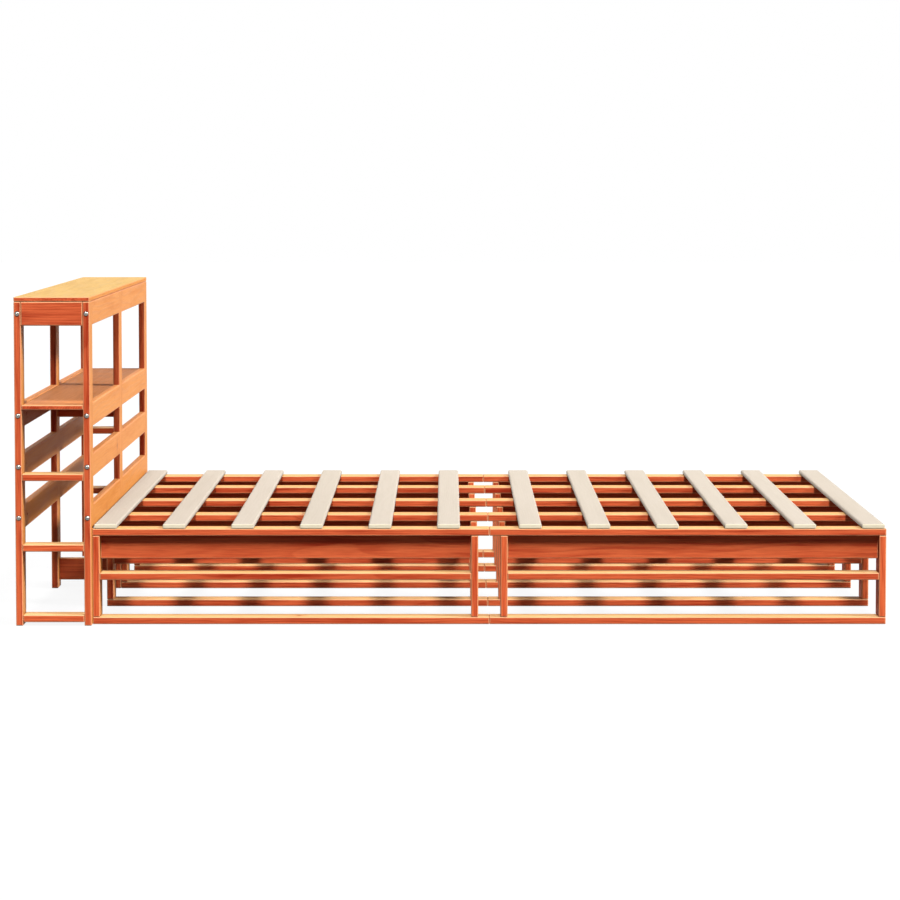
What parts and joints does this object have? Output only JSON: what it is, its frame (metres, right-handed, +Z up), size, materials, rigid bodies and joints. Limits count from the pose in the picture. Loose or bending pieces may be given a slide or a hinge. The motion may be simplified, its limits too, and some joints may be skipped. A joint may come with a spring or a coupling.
{
  "type": "bed frame",
  "caption": "Low pine bed frame of flat ladder-built rails in two halves, with slats across it and an open shelf headboard with a flat top panel.",
  "frame": {"origin": "middle of the footprint, on the floor", "axes": "+X from the headboard to the foot of the bed, +Y across the bed away from the near side, +Z up"},
  "size_m": [2.19, 1.4614, 0.827],
  "materials": {
    "pine": "satin oiled pine, warm orange brown",
    "slat_wood": "raw planed softwood",
    "beech": "raw turned dowel",
    "steel": "bright zinc"
  },
  "bodies": {
    "root": {"head_rails_1": "pine", "head_rails_2": "pine", "head_rails_3": "pine", "head_rails_4": "pine", "head_rails_5": "pine", "foot_rails_1": "pine", "foot_rails_2": "pine", "foot_rails_3": "pine", "foot_rails_4": "pine", "foot_rails_5": "pine", "head_posts_1": "pine", "head_posts_2": "pine", "head_posts_3": "pine", "head_posts_4": "pine", "head_posts_5": "pine", "foot_posts_1": "pine", "foot_posts_2": "pine", "foot_posts_3": "pine", "foot_posts_4": "pine", "foot_posts_5": "pine", "head_boards": "pine", "foot_boards": "pine", "head_slat_1": "slat_wood", "head_slat_2": "slat_wood", "head_slat_3": "slat_wood", "head_slat_4": "slat_wood", "head_slat_5": "slat_wood", "head_slat_6": "slat_wood", "foot_slat_1": "slat_wood", "foot_slat_2": "slat_wood", "foot_slat_3": "slat_wood", "foot_slat_4": "slat_wood", "foot_slat_5": "slat_wood", "foot_slat_6": "slat_wood", "near_rear_post": "pine", "middle_rear_post": "pine", "far_rear_post": "pine", "near_front_post": "pine", "middle_front_post": "pine", "far_front_post": "pine", "near_side_rails": "pine", "far_side_rails": "pine", "side_boards": "pine", "middle_frame_boards": "pine", "front_board_1": "pine", "front_board_2": "pine", "front_board_3": "pine", "front_board_4": "pine", "rear_board_1": "pine", "rear_board_2": "pine", "rear_board_3": "pine", "rear_board_4": "pine", "near_shelf_board": "pine", "far_shelf_board": "pine", "top_panel": "pine", "headboard_bolts": "steel", "barrel_nuts": "steel", "dowels": "beech", "slat_screws": "steel", "frame_screws": "steel"}
  },
  "joints": []
}
